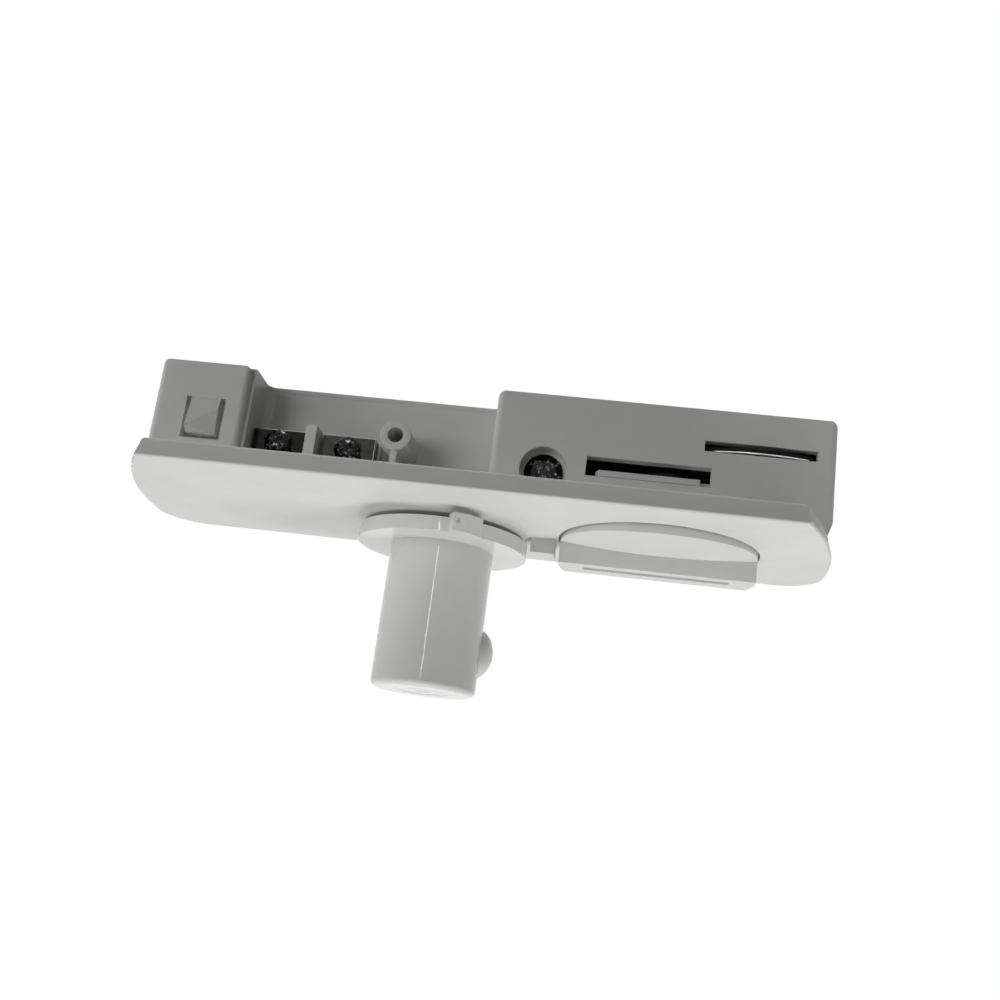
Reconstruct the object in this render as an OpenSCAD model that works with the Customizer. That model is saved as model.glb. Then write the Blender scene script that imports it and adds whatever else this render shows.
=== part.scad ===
// Track light adapter: a plastic housing that locks into a lighting track with a turning lever,
// takes its current through two sprung contact shoes and carries a swivelling cord outlet.
// Origin: on the plate's upper face, which seats against the track, at the middle of its length
// and on the body's centre line. +X runs along the track, +Y to the rear, +Z up into the track.

/* [Plate] */
// Length of the plate's straight front edge
plate_front_len = 84; // [76:0.5:92]
// Greatest length of the plate, at its rear corners
plate_len = 97.6; // [96.5:0.1:108]
// Front edge to the body's centre line
plate_front = 20.5; // [17:0.5:24]
// Body's centre line to the rear edge
plate_rear = 14.5; // [14:0.5:20]
// Thickness of the plate
plate_t = 2.8; // [2.4:0.1:4]
// Radius of the plate's rear corners
plate_corner_r = 6.5; // [4:0.5:9]
// Rounding of the plate's upper edge
plate_edge_r = 0.9; // [0.4:0.1:1.2]
// Rounding of the plate's lower edge
plate_low_r = 0.3; // [0.1:0.05:0.5]
// How far the plate's sides lean in towards the top
plate_draft = 0.45; // [0.1:0.05:0.8]

/* [Body] */
// Depth of the body that enters the track
body_depth = 9.8; // [9.6:0.1:12]
// Height of the body above the plate
body_h = 16.4; // [16:0.1:20]
// Thickness of the body's front and rear walls
wall = 1.7; // [1.4:0.05:1.9]
// Thickness of the body's end walls
end_wall = 1.6; // [1.2:0.1:2]
// Thickness of the body's top wall
top_wall = 1.5; // [1.2:0.1:1.6]
// Left end of the latch block
latch_block_x = -47.5; // [-47.6:0.1:-46]
// Length of the latch block
latch_block_len = 13.2; // [11.5:0.1:13.4]
// Left end of the mechanism block
mech_block_x = 1; // [0.5:0.1:1.2]
// Length of the mechanism block
mech_block_len = 46.6; // [46.4:0.1:47]
// How far the mechanism block's end draws in above the plate
end_draw = 0.9; // [0.2:0.1:1]
// Height over which that end draws in
end_draw_h = 2.4; // [1:0.2:4]
// Rounding of the blocks' upright edges
upright_r = 1; // [0.4:0.1:1.4]
// Rounding of the blocks' upper corners
upper_r = 1.1; // [0.5:0.1:1.4]
// Width of the ledge that locates a terminal cover
ledge_w = 0.4; // [0.3:0.1:0.7]
// Depth of that ledge behind the front face
ledge_d = 1.1; // [0.8:0.1:1.4]
// Radius where the ledge runs into the tray's rear wall
ledge_r = 1.2; // [0.6:0.1:1.4]
// Height of the lip along the top of the tray's rear wall
lip_h = 0.45; // [0.3:0.05:0.8]
// How far that lip stands out of the wall
lip_d = 0.3; // [0.1:0.05:0.35]

/* [Latch] */
// Middle of the latch tongue
tongue_x = -40.05; // [-41:0.05:-39.5]
// Width of the tongue
tongue_w = 4.2; // [3:0.1:5]
// Height where the tongue joins the wall
tongue_top = 11.1; // [10:0.1:12]
// Lower end of the slots round the tongue
tongue_low = 5; // [4:0.1:6]
// Width of those slots
tongue_slot = 0.72; // [0.5:0.02:0.9]
// How far the latch stands out of the face
latch_out = 1.1; // [0.6:0.1:1.5]
// Thickness of the tongue
tongue_t = 1.1; // [0.8:0.1:1.3]

/* [Terminals] */
// Screw axis of the neutral terminal along the track
neutral_x = -29.9; // [-30.1:0.1:-29.7]
// Screw axis of the live terminal along the track
live_x = -19.7; // [-19.8:0.1:-19.5]
// Height of the terminal screws
terminal_z = 6.6; // [6.2:0.1:7]
// Length of the terminal plates
terminal_len = 7.6; // [6.5:0.1:7.8]
// Height of the terminal plates' upper edge
terminal_top = 8.7; // [8.6:0.1:9.4]
// Thickness of the contact strips
strip_t = 0.4; // [0.3:0.05:0.5]
// Width of the strips' lower runs
strip_w = 1.4; // [1:0.1:1.5]
// Thickness of the partition between the terminals
partition_t = 1.5; // [1:0.1:1.6]
// Height of the partition
partition_h = 9.2; // [8.9:0.1:11]
// Diameter of the terminal screws' heads
terminal_head_d = 3.8; // [3:0.1:4.2]
// Diameter of the terminal screws' shanks
terminal_shank_d = 1.9; // [1.6:0.1:2.2]

/* [Cover boss] */
// Axis of the terminal cover's screw boss along the track
boss_x = -12.55; // [-13:0.05:-12.2]
// Height of the boss
boss_z = 8.45; // [8.3:0.05:10]
// Outside diameter of the boss
boss_d = 4.4; // [4:0.1:4.6]
// Diameter of the boss's hole
boss_hole_d = 2.2; // [1.8:0.1:2.6]
// Depth of the boss's hole
boss_hole_len = 6.5; // [4:0.5:7]
// Thickness of the web under the boss
boss_web = 0.9; // [0.6:0.1:1.2]

/* [Lock] */
// Axis of the locking lever along the track
lever_x = 25.1; // [24.8:0.1:25.4]
// Diameter of the lever's round head
lever_d = 26.8; // [25:0.1:27]
// How far the head's middle stands below the plate
lever_proud = 1.2; // [0.9:0.1:1.6]
// Radius of the head's crown along the track
lever_crown_r = 123; // [100:1:200]
// Depth of the recess for the head
lever_recess = 1; // [0.6:0.1:1.2]
// Front face of the grip, behind the lever's axis when positive
grip_front = -1; // [-2:0.1:0]
// Thickness of the grip
grip_t = 5.5; // [4:0.1:7]
// How far the grip reaches below the plate
grip_h = 3.4; // [2.5:0.1:5]
// Length of the groove in the grip
groove_len = 20; // [10:0.5:22]
// Width of that groove
groove_w = 1.4; // [0.8:0.1:1.8]
// Depth of that groove
groove_d = 0.45; // [0.2:0.05:0.8]
// Diameter of the lever's spindle
spindle_d = 4.2; // [3.8:0.1:4.4]
// Lower edge of the locking slots
lock_slot_z = 5.3; // [5.3:0.05:5.8]
// Height of the locking slots
lock_slot_h = 2.75; // [2.6:0.05:3]
// Reach of the locking wing from its axis
wing_r = 10.2; // [9.4:0.1:10.4]
// Length of each wing arm along its middle
wing_len = 9.6; // [8.8:0.1:9.8]
// Thickness of the locking wing
wing_t = 0.9; // [0.7:0.05:1.2]
// How far the retracted wing lies inside the face
wing_inset = 0.3; // [0.2:0.05:0.6]

/* [Cover screw] */
// Axis of the mechanism cover's screw along the track
cover_screw_x = 8.4; // [8.2:0.1:8.8]
// Height of the cover screw
cover_screw_z = 5.55; // [5.4:0.05:5.8]
// Diameter of its counterbore
counterbore_d = 6.5; // [6:0.1:6.8]
// Depth of its counterbore
counterbore_depth = 2.2; // [1.9:0.1:2.5]
// Diameter of its head
cover_head_d = 5.4; // [4.6:0.1:5.8]
// Diameter of its shank
cover_shank_d = 2.2; // [1.8:0.1:2.6]
// Length of its shank
cover_shank_len = 4.3; // [3.4:0.1:4.5]

/* [Contacts] */
// Middle of the contact slots along the track
contact_x = 37.5; // [37.4:0.05:37.7]
// Length of the contact slots
contact_slot_len = 15.2; // [14:0.1:15.4]
// Body's top to the lower edge of the contact slots
contact_slot_drop = 6; // [5.8:0.1:6.2]
// Height of the contact slots
contact_slot_h = 1.5; // [1.2:0.1:1.8]
// Thickness of the contact shoes
shoe_t = 0.65; // [0.5:0.05:0.8]
// How far the shoes stand out of the body
shoe_out = 0.4; // [0.2:0.05:0.7]
// Radius of the shoes' curved edge
shoe_edge_r = 25; // [18:1:40]
// How far a shoe can be pressed in
shoe_travel = 1.1; // [0.7:0.1:1.1]
// Thickness of the wall between the shoes
divider_t = 1; // [0.8:0.1:1.2]
// Thickness of the shoes' leaf springs
leaf_t = 0.2; // [0.15:0.01:0.25]

/* [Cord outlet] */
// Axis of the cord outlet along the track
outlet_x = -4.45; // [-4.6:0.05:-4.3]
// Diameter of the raised seat under the plate
seat_d = 22.6; // [20:0.1:22.8]
// Height of that seat
seat_h = 0.75; // [0.5:0.05:1.2]
// Gap between the seat and the swivel disc
swivel_gap = 0.7; // [0.3:0.05:0.9]
// Diameter of the swivel disc
disc_d = 23.3; // [21:0.1:23.5]
// Thickness of the swivel disc
disc_t = 1.93; // [1.5:0.01:2.6]
// Outside diameter of the outlet tube
tube_d = 14.2; // [12:0.1:16]
// Length of the tube below the disc
tube_len = 19.6; // [16:0.1:26]
// Rounding of the tube's lower edge
tube_edge_r = 0.8; // [0.4:0.1:1.2]
// Diameter of the cord's bore
cord_d = 7; // [5:0.1:8]
// Length of the cord's bore
cord_len = 16; // [12:0.5:17]
// Diameter of the neck that turns in the plate
neck_d = 7.2; // [6.6:0.1:7.4]
// Diameter of the wire passage through the neck
neck_bore_d = 5; // [4:0.1:5.2]
// Diameter of the clip groove in the neck
neck_groove_d = 6.2; // [5.8:0.1:6.4]
// Thickness of the retaining clip
clip_t = 0.7; // [0.5:0.05:0.9]
// How far the stop tab stands out of the disc
tab_out = 1.25; // [0.8:0.05:1.5]
// How far the stop tab rises above the disc
tab_rise = 0.5; // [0.2:0.05:0.5]
// Direction of the stop tab's corner, from the track's direction
tab_angle = -69.5; // [-80:0.5:-60]
// Length of the fixed stop along the track
stop_len = 3.4; // [2.5:0.1:3.4]
// Depth of the fixed stop
stop_depth = 4.2; // [3:0.1:5]
// Height of the fixed stop below the plate
stop_h = 2.1; // [1.9:0.05:2.6]
// Height of the clamp screw above the tube's lower end
clamp_up = 6.2; // [5:0.05:8]
// Diameter of the clamp screw's domed head
clamp_head_d = 6.5; // [5:0.1:7]
// How far its head stands out of the tube
clamp_out = 1.95; // [1.2:0.05:2.4]
// Direction of the clamp screw, from the track's direction to the rear
clamp_angle = 22; // [0:1:40]
// Diameter of the clamp screw's shank
clamp_shank_d = 3; // [2.5:0.1:4]

/* [Hidden] */
$fn = 96;

// Clearances: running fit, parts that lie on each other, and free room for what moves
run = 0.05;
lie = 0.05;
room = 0.3;
// Overlap that joins two shapes of one moulding, and the overshoot of a cut
join = 0.4;
over = 1;

// Colours
white = [0.86, 0.86, 0.85];
grey = [0.80, 0.80, 0.79];
brass = [0.72, 0.62, 0.38];
steel = [0.45, 0.45, 0.46];
spring_steel = [0.62, 0.62, 0.64];

// Body
half = body_depth / 2;
inner = half - wall;
latch_end = latch_block_x + latch_block_len;
mech_end = mech_block_x + mech_block_len;
ceiling = body_h - top_wall;
contact_slot_z = body_h - contact_slot_drop;
shelf_z = contact_slot_z;
plate_low = -plate_t;

// Plate outline: flanks are arcs that meet the rear corners without a kink
flank_y = plate_rear - plate_corner_r;
flank_spread = (plate_len - plate_front_len) / 2;
flank_r = (pow(flank_spread, 2) + pow(plate_front + flank_y, 2)) / (2 * flank_spread);

// Terminals and strips
terminal_face = 1;
terminal_back = terminal_face + strip_t;
terminal_low = 2.4;
strip_back = inner - 0.35;
neutral_run_z = terminal_low;
live_run_z = neutral_run_z + strip_w + 0.8;
live_riser_x = mech_block_x + end_wall + 0.2;
riser_w = 2;
neutral_riser_x = live_riser_x + 3;
upper_run_z = shelf_z + 0.8;
upper_run_h = ceiling - 0.9 - upper_run_z;
upper_run_y = divider_t / 2 + 0.1 + strip_t / 2;
upper_run_end = contact_x + 6.5;
clamp_face = -0.2;
clamp_t = 0.7;
partition_x = (neutral_x + live_x) / 2;

// Lock
collar_top = lock_slot_z - 0.75;
washer_h = 0.45;
washer_z = collar_top + lie;
hub_z = washer_z + washer_h + lie;
hub_top = hub_z + 2.3;
hub_d = 2 * (inner - room);
spindle_top = hub_top - 0.1;
spindle_flat = spindle_d * 0.7;
wing_screw_d = 1.8;
wing_screw_len = 3.6;
wing_z = lock_slot_z + 0.15;
wing_edge = half - wing_inset;
wing_waist = inner - room;
slot_far = wing_r + 0.75;
slot_near = sqrt(2) * wing_edge - 0.5;
lever_face = plate_low - lever_proud;
lever_top = plate_low + lever_recess - 0.2;
screw_block_end = cover_screw_x + counterbore_d / 2 + 1.2;
screw_block_top = cover_screw_z + counterbore_d / 2 + 0.2;
cover_boss_wall = 0.9;
cover_boss_len = counterbore_depth + 0.9 - wall;
cover_seat = half - counterbore_depth;
cover_boss_back = inner - cover_boss_len;

// Contacts
shelf_t = 1;
shoe_w = contact_slot_len - 2 * room;
flange_w = contact_slot_len + 0.8;
flange_y = inner - 0.1;
shoe_z = shelf_z + 0.1;
shoe_top = ceiling - 0.2;
leaf_low = upper_run_y + strip_t / 2 + lie;
leaf_high = flange_y - shoe_t - lie;
leaf_half = 5.5;
leaf_rise = leaf_high - leaf_low - leaf_t;
leaf_r = (pow(leaf_half, 2) + pow(leaf_rise, 2)) / (2 * leaf_rise);

// Cord outlet
seat_low = plate_low - seat_h;
disc_top = seat_low - swivel_gap;
disc_low = disc_top - disc_t;
tube_low = disc_low - tube_len;
neck_top = clip_t + 1.2;
clip_z = lie;
clip_half = neck_groove_d / 2 + 2.1;
clip_front = half - room;
clip_back = inner - 0.2;
stop_x = outlet_x + disc_d / 2 + 0.4;
clamp_z = tube_low + clamp_up;
clamp_seat = tube_d / 2 - 0.9;

// Plane shapes

// Section of the plate from its middle out to a rounded rim
module plate_rim(reach) {
    upper = reach - plate_draft;
    translate([0, plate_low]) square([upper - plate_edge_r, plate_t]);
    translate([upper - plate_edge_r, -plate_edge_r]) circle(plate_edge_r, $fn = 48);
    translate([reach - plate_low_r, plate_low + plate_low_r]) circle(plate_low_r, $fn = 24);
    polygon([[0, plate_low], [reach - plate_low_r, plate_low], [reach, plate_low + plate_low_r],
        [upper, -plate_edge_r], [0, -plate_edge_r]]);
}

module round_rect(len, width, r) {
    translate([r, 0]) square([len - 2 * r, width]);
    translate([0, r]) square([len, width - 2 * r]);
    for (x = [r, len - r], y = [r, width - r]) translate([x, y]) circle(r, $fn = 48);
}

module arched_rect(len, height, r) {
    square([len, height - r]);
    translate([r, 0]) square([len - 2 * r, height]);
    for (x = [r, len - r]) translate([x, height - r]) circle(r, $fn = 48);
}

// A strip of constant thickness along a path in plan
module ribbon(path, t) {
    for (i = [0 : len(path) - 2]) {
        step = path[i + 1] - path[i];
        translate(path[i]) rotate(atan2(step.y, step.x)) translate([0, -t / 2]) square([norm(step), t]);
    }
    for (p = path) translate(p) circle(d = t, $fn = 24);
}

// Common solids

module box(low, high) {
    translate(low) cube(high - low);
}

// A screw whose seat is at the origin, head up, with a cross or a slot in the head
module screw(head_d, head_h, shank_d, shank_len, dome, cross) {
    recess_w = head_d * 0.17;
    recess_len = head_d * (cross ? 0.62 : 1.1);
    difference() {
        union() {
            intersection() {
                cylinder(d = head_d, h = head_h);
                translate([0, 0, head_h - dome]) sphere(dome);
            }
            translate([0, 0, -shank_len]) cylinder(d = shank_d, h = shank_len + head_h / 2);
        }
        for (a = cross ? [45, 135] : [45]) rotate(a)
            translate([-recess_len / 2, -recess_w / 2, head_h * 0.45]) cube([recess_len, recess_w, head_h]);
    }
}

// Outer form of a block of the body, from just inside the plate to its top
module body_block(x, length) {
    intersection() {
        translate([x, half, -join]) rotate([90, 0, 0])
            linear_extrude(body_depth) arched_rect(length, body_h + join, upper_r);
        translate([x, -half, -join - over]) linear_extrude(body_h + join + 2 * over)
            round_rect(length, body_depth, upright_r);
    }
}

// Its end draws in above the plate, so that it stands on the plate's curved end
module mech_block() {
    drawn = mech_end - end_draw;
    difference() {
        body_block(mech_block_x, mech_block_len);
        translate([0, half + over, 0]) rotate([90, 0, 0]) linear_extrude(body_depth + 2 * over)
            polygon([[drawn, 0], [mech_end, end_draw_h], [mech_end + over, end_draw_h],
                [mech_end + over, -join - over], [drawn, -join - over]]);
    }
}

// Space in front of the mechanism block's cavity, which the cover fills
module cover_space(low) {
    box([mech_block_x - over, -half - over, low], [mech_end + over, -inner, body_h + over]);
}

// Slot pair for the wing: the front one, and the rear one turned half round
module lock_slots() {
    for (turn = [0, 180]) translate([lever_x, 0, 0]) rotate(turn)
        box([-slot_far, -half - over, lock_slot_z], [slot_near, -inner + over, lock_slot_z + lock_slot_h]);
}

module contact_slots() {
    for (turn = [0, 180]) translate([contact_x, 0, 0]) rotate(turn)
        box([-contact_slot_len / 2, -half - over, contact_slot_z],
            [contact_slot_len / 2, -inner + over, contact_slot_z + contact_slot_h]);
}

// Paths of the two strips in plan
function neutral_run() = [[neutral_x + terminal_len / 2 - 0.6, terminal_face + strip_t / 2],
    [partition_x - partition_t / 2 - 0.2, terminal_face + strip_t / 2],
    [partition_x + partition_t / 2, strip_back], [neutral_riser_x + riser_w / 2, strip_back]];
function live_run() = [[live_x + terminal_len / 2 - 0.6, terminal_face + strip_t / 2],
    [live_x + terminal_len / 2 + 0.4, terminal_face + strip_t / 2],
    [live_x + terminal_len / 2 + 2, strip_back], [live_riser_x + riser_w / 2, strip_back]];
function neutral_rise() = [[neutral_riser_x + strip_t / 2, strip_back], [neutral_riser_x + 6, strip_back],
    [neutral_riser_x + 9, upper_run_y], [upper_run_end, upper_run_y]];
function live_rise() = [[live_riser_x + strip_t / 2, strip_back],
    [live_riser_x + riser_w - strip_t / 2, strip_back],
    [live_riser_x + 6, -upper_run_y], [upper_run_end, -upper_run_y]];

module strip(x, lower, run_z, riser_x, rise) {
    difference() {
        box([x - terminal_len / 2, terminal_face, terminal_low],
            [x + terminal_len / 2, terminal_back, terminal_top]);
        translate([x, terminal_back + over, terminal_z]) rotate([90, 0, 0])
            cylinder(d = terminal_shank_d + 2 * run, h = strip_t + 2 * over);
    }
    translate([0, 0, run_z]) linear_extrude(strip_w) ribbon(lower, strip_t);
    box([riser_x, strip_back - strip_t / 2, run_z],
        [riser_x + riser_w, strip_back + strip_t / 2, upper_run_z + upper_run_h]);
    translate([0, 0, upper_run_z]) linear_extrude(upper_run_h) ribbon(rise, strip_t);
}

// Channels in the housing for the strips' lower runs and risers
module strip_channels() {
    channel_t = strip_t + 2 * 0.1;
    for (s = [[neutral_run(), neutral_run_z, neutral_riser_x], [live_run(), live_run_z, live_riser_x]]) {
        translate([0, 0, s[1] - 0.1]) linear_extrude(strip_w + 0.2) ribbon(s[0], channel_t);
        box([s[2] - 0.1, strip_back - channel_t / 2, s[1] - 0.1],
            [s[2] + riser_w + 0.1, strip_back + channel_t / 2, screw_block_top + over]);
    }
}

// Moulded housing

// Straight length of the plate's section, reaching to the rear of its start
module plate_bar(length, reach) {
    rotate([90, 0, 90]) linear_extrude(length) plate_rim(reach);
}

module plate_slab() {
    flank_x = plate_len / 2 - flank_r;
    corner_x = plate_len / 2 - plate_corner_r;
    intersection() {
        translate([flank_x, flank_y, 0]) rotate_extrude($fn = 360) plate_rim(flank_r);
        translate([-flank_x, flank_y, 0]) rotate_extrude($fn = 360) plate_rim(flank_r);
        translate([-plate_len, flank_y, 0]) mirror([0, 1, 0])
            plate_bar(2 * plate_len, plate_front + flank_y);
    }
    translate([-corner_x, flank_y, 0]) plate_bar(2 * corner_x, plate_corner_r);
    for (side = [0, 1]) mirror([side, 0, 0]) intersection() {
        translate([corner_x, flank_y, 0]) rotate_extrude() plate_rim(plate_corner_r);
        box([corner_x, flank_y, -plate_len], [plate_len, plate_len, plate_len]);
    }
}

// Raised seat of the swivel disc, with a soft foot
module swivel_seat() {
    foot = 0.8;
    translate([outlet_x, 0, 0]) rotate_extrude() polygon([[0, seat_low], [seat_d / 2 - 0.2, seat_low],
        [seat_d / 2, seat_low + 0.2], [seat_d / 2 + foot / 4, plate_low - seat_h / 3],
        [seat_d / 2 + foot, plate_low], [seat_d / 2 + foot, plate_low + join], [0, plate_low + join]]);
}

module swivel_stop() {
    box([stop_x, room, plate_low - stop_h], [stop_x + stop_len, room + stop_depth, plate_low + join]);
}

// Latch on the tongue: a ramp from the root to a tip low on the left, cut back to the lower right
module latch_tip() {
    left = tongue_x - tongue_w / 2;
    right = tongue_x + tongue_w / 2;
    low = tongue_low + tongue_slot;
    tip = low + 0.75;
    ridge = low + (tongue_top - low) * 0.68;
    ridge_out = latch_out * (tongue_top - ridge) / (tongue_top - tip);
    back = join - half;
    points = [[left, -half, tongue_top], [right, -half, tongue_top], [right, -half - ridge_out, ridge],
        [right, -half, low], [left, -half, low], [left, -half - latch_out, tip],
        [left, back, tongue_top], [right, back, tongue_top], [right, back, low], [left, back, low]];
    polyhedron(points, [[0, 1, 2, 5], [2, 3, 5], [3, 4, 5], [1, 7, 8, 3, 2], [0, 5, 4, 9, 6], [1, 0, 6, 7],
        [4, 3, 8, 9], [6, 9, 8, 7]]);
}

module latch_cuts() {
    slots_w = tongue_w + 2 * tongue_slot;
    front = -half - over;
    back = over - half + wall;
    for (side = [-1, 1]) translate([tongue_x + side * (tongue_w + tongue_slot) / 2, 0, 0])
        box([-tongue_slot / 2, front, tongue_low], [tongue_slot / 2, back, tongue_top]);
    translate([tongue_x, 0, 0]) {
        box([-slots_w / 2, front, tongue_low], [slots_w / 2, back, tongue_low + tongue_slot]);
        box([-slots_w / 2, tongue_t - half, tongue_low], [slots_w / 2, back, tongue_top]);
    }
    box([latch_block_x + end_wall, wall - half, end_wall], [latch_end - end_wall, inner, body_h + over]);
}

// Tray between the blocks: rear wall with its lip, ledge, terminal seats, partition and cover boss
module tray() {
    wall_len = mech_block_x - latch_end + 2 * (upright_r + join);
    translate([latch_end - upright_r - join, 0, 0]) rotate([90, 0, 90]) linear_extrude(wall_len)
        polygon([[inner + lip_d, -join], [half, -join], [half, body_h], [inner, body_h],
            [inner, body_h - lip_h], [inner + lip_d, body_h - lip_h - lip_d]]);
    translate([0, 0, -join]) linear_extrude(body_h + join) {
        translate([latch_end - upper_r, ledge_d - half])
            square([ledge_w + upper_r, inner + join + half - ledge_d]);
        translate([latch_end + ledge_w, inner - ledge_r]) difference() {
            translate([-lie, 0]) square([ledge_r + lie, ledge_r + join]);
            translate([ledge_r, 0]) circle(ledge_r);
        }
    }
    box([latch_end, terminal_back + lie, -join], [partition_x, inner + join, partition_h]);
    box([partition_x, terminal_back + lie, -join],
        [live_x + terminal_len / 2 + 0.4, inner + join, terminal_top - 0.3]);
    translate([partition_x, 0, 0])
        box([-partition_t / 2, wall - half, -join], [partition_t / 2, inner + join, partition_h]);
    translate([boss_x, 0, 0]) {
        box([-boss_web / 2, 0.7 - half, -join], [boss_web / 2, inner + join, boss_z]);
        translate([0, inner + join, boss_z]) rotate([90, 0, 0])
            cylinder(d = boss_d, h = inner + join + half - room);
    }
}

module tray_cuts() {
    translate([boss_x, boss_hole_len + room - half, boss_z]) rotate([90, 0, 0])
        cylinder(d = boss_hole_d, h = boss_hole_len + over);
    for (x = [neutral_x, live_x]) translate([x, inner - 0.3, terminal_z]) rotate([90, 0, 0])
        cylinder(d = terminal_shank_d + 2 * run, h = inner);
}

// Inside of the mechanism block: cavity, screw block, spindle collar and contact shelf
module mech_inside() {
    difference() {
        box([mech_block_x + end_wall, -inner - over, -lie], [mech_end - end_wall, inner, ceiling]);
        box([mech_block_x, -inner, -over], [screw_block_end, inner + over, screw_block_top]);
        translate([lever_x, 0, -over]) intersection() {
            cylinder(d = spindle_d + 3, h = collar_top + over);
            box([-lever_d, -inner, -over], [lever_d, inner + over, body_h]);
        }
        box([contact_x - flange_w / 2 - 0.6, -inner, shelf_z - shelf_t], [mech_end, inner + over, shelf_z]);
    }
    translate([cover_screw_x, 0.1 - cover_boss_back, cover_screw_z]) rotate([90, 0, 0])
        cylinder(d = counterbore_d + 2 * cover_boss_wall + 0.3, h = half);
    translate([cover_screw_x, cover_shank_len - cover_seat + 0.3, cover_screw_z]) rotate([90, 0, 0])
        cylinder(d = cover_shank_d + 2 * 0.02, h = half);
}

module spindle_bore() {
    translate([lever_x, 0, plate_low - over]) {
        cylinder(d = spindle_d + 2 * run, h = plate_t + collar_top + 2 * over);
        cylinder(d = lever_d + 2 * room, h = lever_recess + over);
    }
}

module neck_bore() {
    translate([outlet_x, 0, seat_low - over])
        cylinder(d = neck_d + 2 * run, h = seat_h + plate_t + 2 * over);
    translate([outlet_x, 0, 0]) cylinder(d = neck_d + 2 * room, h = neck_top + room);
}

module base_housing() {
    color(white) difference() {
        union() {
            plate_slab();
            difference() {
                union() {
                    body_block(latch_block_x, latch_block_len);
                    latch_tip();
                    difference() {
                        mech_block();
                        cover_space(-over);
                    }
                    tray();
                }
                latch_cuts();
                tray_cuts();
                mech_inside();
                lock_slots();
                contact_slots();
                strip_channels();
            }
            swivel_seat();
            swivel_stop();
        }
        spindle_bore();
        neck_bore();
    }
}

module mechanism_cover() {
    color(white) difference() {
        union() {
            intersection() {
                mech_block();
                cover_space(lie);
            }
            translate([cover_screw_x, -cover_boss_back, cover_screw_z]) rotate([90, 0, 0])
                cylinder(d = counterbore_d + 2 * cover_boss_wall, h = cover_boss_len + join);
        }
        translate([cover_screw_x, -cover_seat, cover_screw_z]) rotate([90, 0, 0])
            cylinder(d = counterbore_d, h = counterbore_depth + over);
        translate([cover_screw_x, over - cover_boss_back, cover_screw_z]) rotate([90, 0, 0])
            cylinder(d = cover_shank_d + 0.4, h = half);
        lock_slots();
        contact_slots();
    }
}

// Fasteners

module cover_screw() {
    color(steel) translate([cover_screw_x, -cover_seat, cover_screw_z]) rotate([90, 0, 0])
        screw(cover_head_d, 1.5, cover_shank_d, cover_shank_len, cover_head_d * 0.72, true);
}

module terminal_screw(x) {
    shank_len = inner - 0.4 - clamp_face + clamp_t;
    color(steel) translate([x, clamp_face - clamp_t, terminal_z]) rotate([90, 0, 0])
        screw(terminal_head_d, 1.35, terminal_shank_d, shank_len, terminal_head_d * 0.7, true);
}

module live_screw() {
    terminal_screw(live_x);
}

module neutral_screw() {
    terminal_screw(neutral_x);
}

// Clamp plate with folded sides that hold a bare wire against its strip
module terminal_clamp(x) {
    lip = 0.7;
    depth = terminal_face - clamp_face - 0.25;
    low = 2 * terminal_z - terminal_top;
    color(brass) difference() {
        translate([x, 0, 0]) {
            box([-terminal_len / 2, clamp_face - clamp_t, low],
                [terminal_len / 2, clamp_face, terminal_top]);
            for (side = [-1, 1]) translate([side * (terminal_len - lip) / 2, 0, 0])
                box([-lip / 2, clamp_face - join, low], [lip / 2, clamp_face + depth, terminal_top]);
        }
        translate([x, terminal_face, terminal_z]) rotate([90, 0, 0])
            cylinder(d = terminal_shank_d + 2 * run, h = half);
    }
}

module live_clamp() {
    terminal_clamp(live_x);
}

module neutral_clamp() {
    terminal_clamp(neutral_x);
}

module live_strip() {
    color(brass) strip(live_x, live_run(), live_run_z, live_riser_x, live_rise());
}

module neutral_strip() {
    color(brass) strip(neutral_x, neutral_run(), neutral_run_z, neutral_riser_x, neutral_rise());
}

// Lock

module lock_lever() {
    head_r = lever_d / 2;
    color(white) translate([lever_x, 0, 0]) difference() {
        union() {
            intersection() {
                translate([0, 0, lever_face]) cylinder(r = head_r, h = lever_top - lever_face);
                translate([0, head_r + over, lever_face + lever_crown_r]) rotate([90, 0, 0])
                    cylinder(r = lever_crown_r, h = lever_d + 2 * over, $fn = 360);
            }
            intersection() {
                translate([0, 0, plate_low - grip_h]) cylinder(r = head_r, h = grip_h + join);
                box([-head_r, grip_front, plate_low - grip_h],
                    [head_r, grip_front + grip_t, lever_top - join]);
            }
            translate([0, 0, lever_top - join]) cylinder(d = spindle_d, h = hub_z + lie - lever_top + join);
            intersection() {
                translate([0, 0, hub_z]) cylinder(d = spindle_d, h = spindle_top - hub_z);
                box([-spindle_d, -spindle_flat / 2, 0], [spindle_d, spindle_flat / 2, hub_top]);
            }
        }
        translate([-groove_len / 2, grip_front + grip_t * 0.45 - groove_w / 2, plate_low - grip_h - over])
            cube([groove_len, groove_w, groove_d + over]);
        translate([0, 0, hub_top - wing_screw_len - 0.3]) cylinder(d = wing_screw_d + 2 * 0.02, h = hub_top);
    }
}

// Two-armed wing: each arm's outer edge lies in its slot until the lever turns it out
module lock_wing() {
    color(grey) translate([lever_x, 0, 0]) difference() {
        union() {
            translate([0, 0, wing_z]) linear_extrude(wing_t) intersection() {
                circle(wing_r);
                polygon([for (s = [-1, 1]) each [[s * wing_len, s * wing_edge],
                    [-s * wing_edge, s * wing_edge], [-s * wing_edge, s * wing_waist],
                    [-s * wing_len, s * wing_waist]]]);
            }
            translate([0, 0, hub_z + lie]) cylinder(d = hub_d, h = hub_top - hub_z - lie);
        }
        intersection() {
            translate([0, 0, hub_z - over]) cylinder(d = spindle_d + 2 * run, h = hub_top);
            box([-spindle_d, -spindle_flat / 2 - run, 0], [spindle_d, spindle_flat / 2 + run, body_h]);
        }
    }
}

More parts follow.
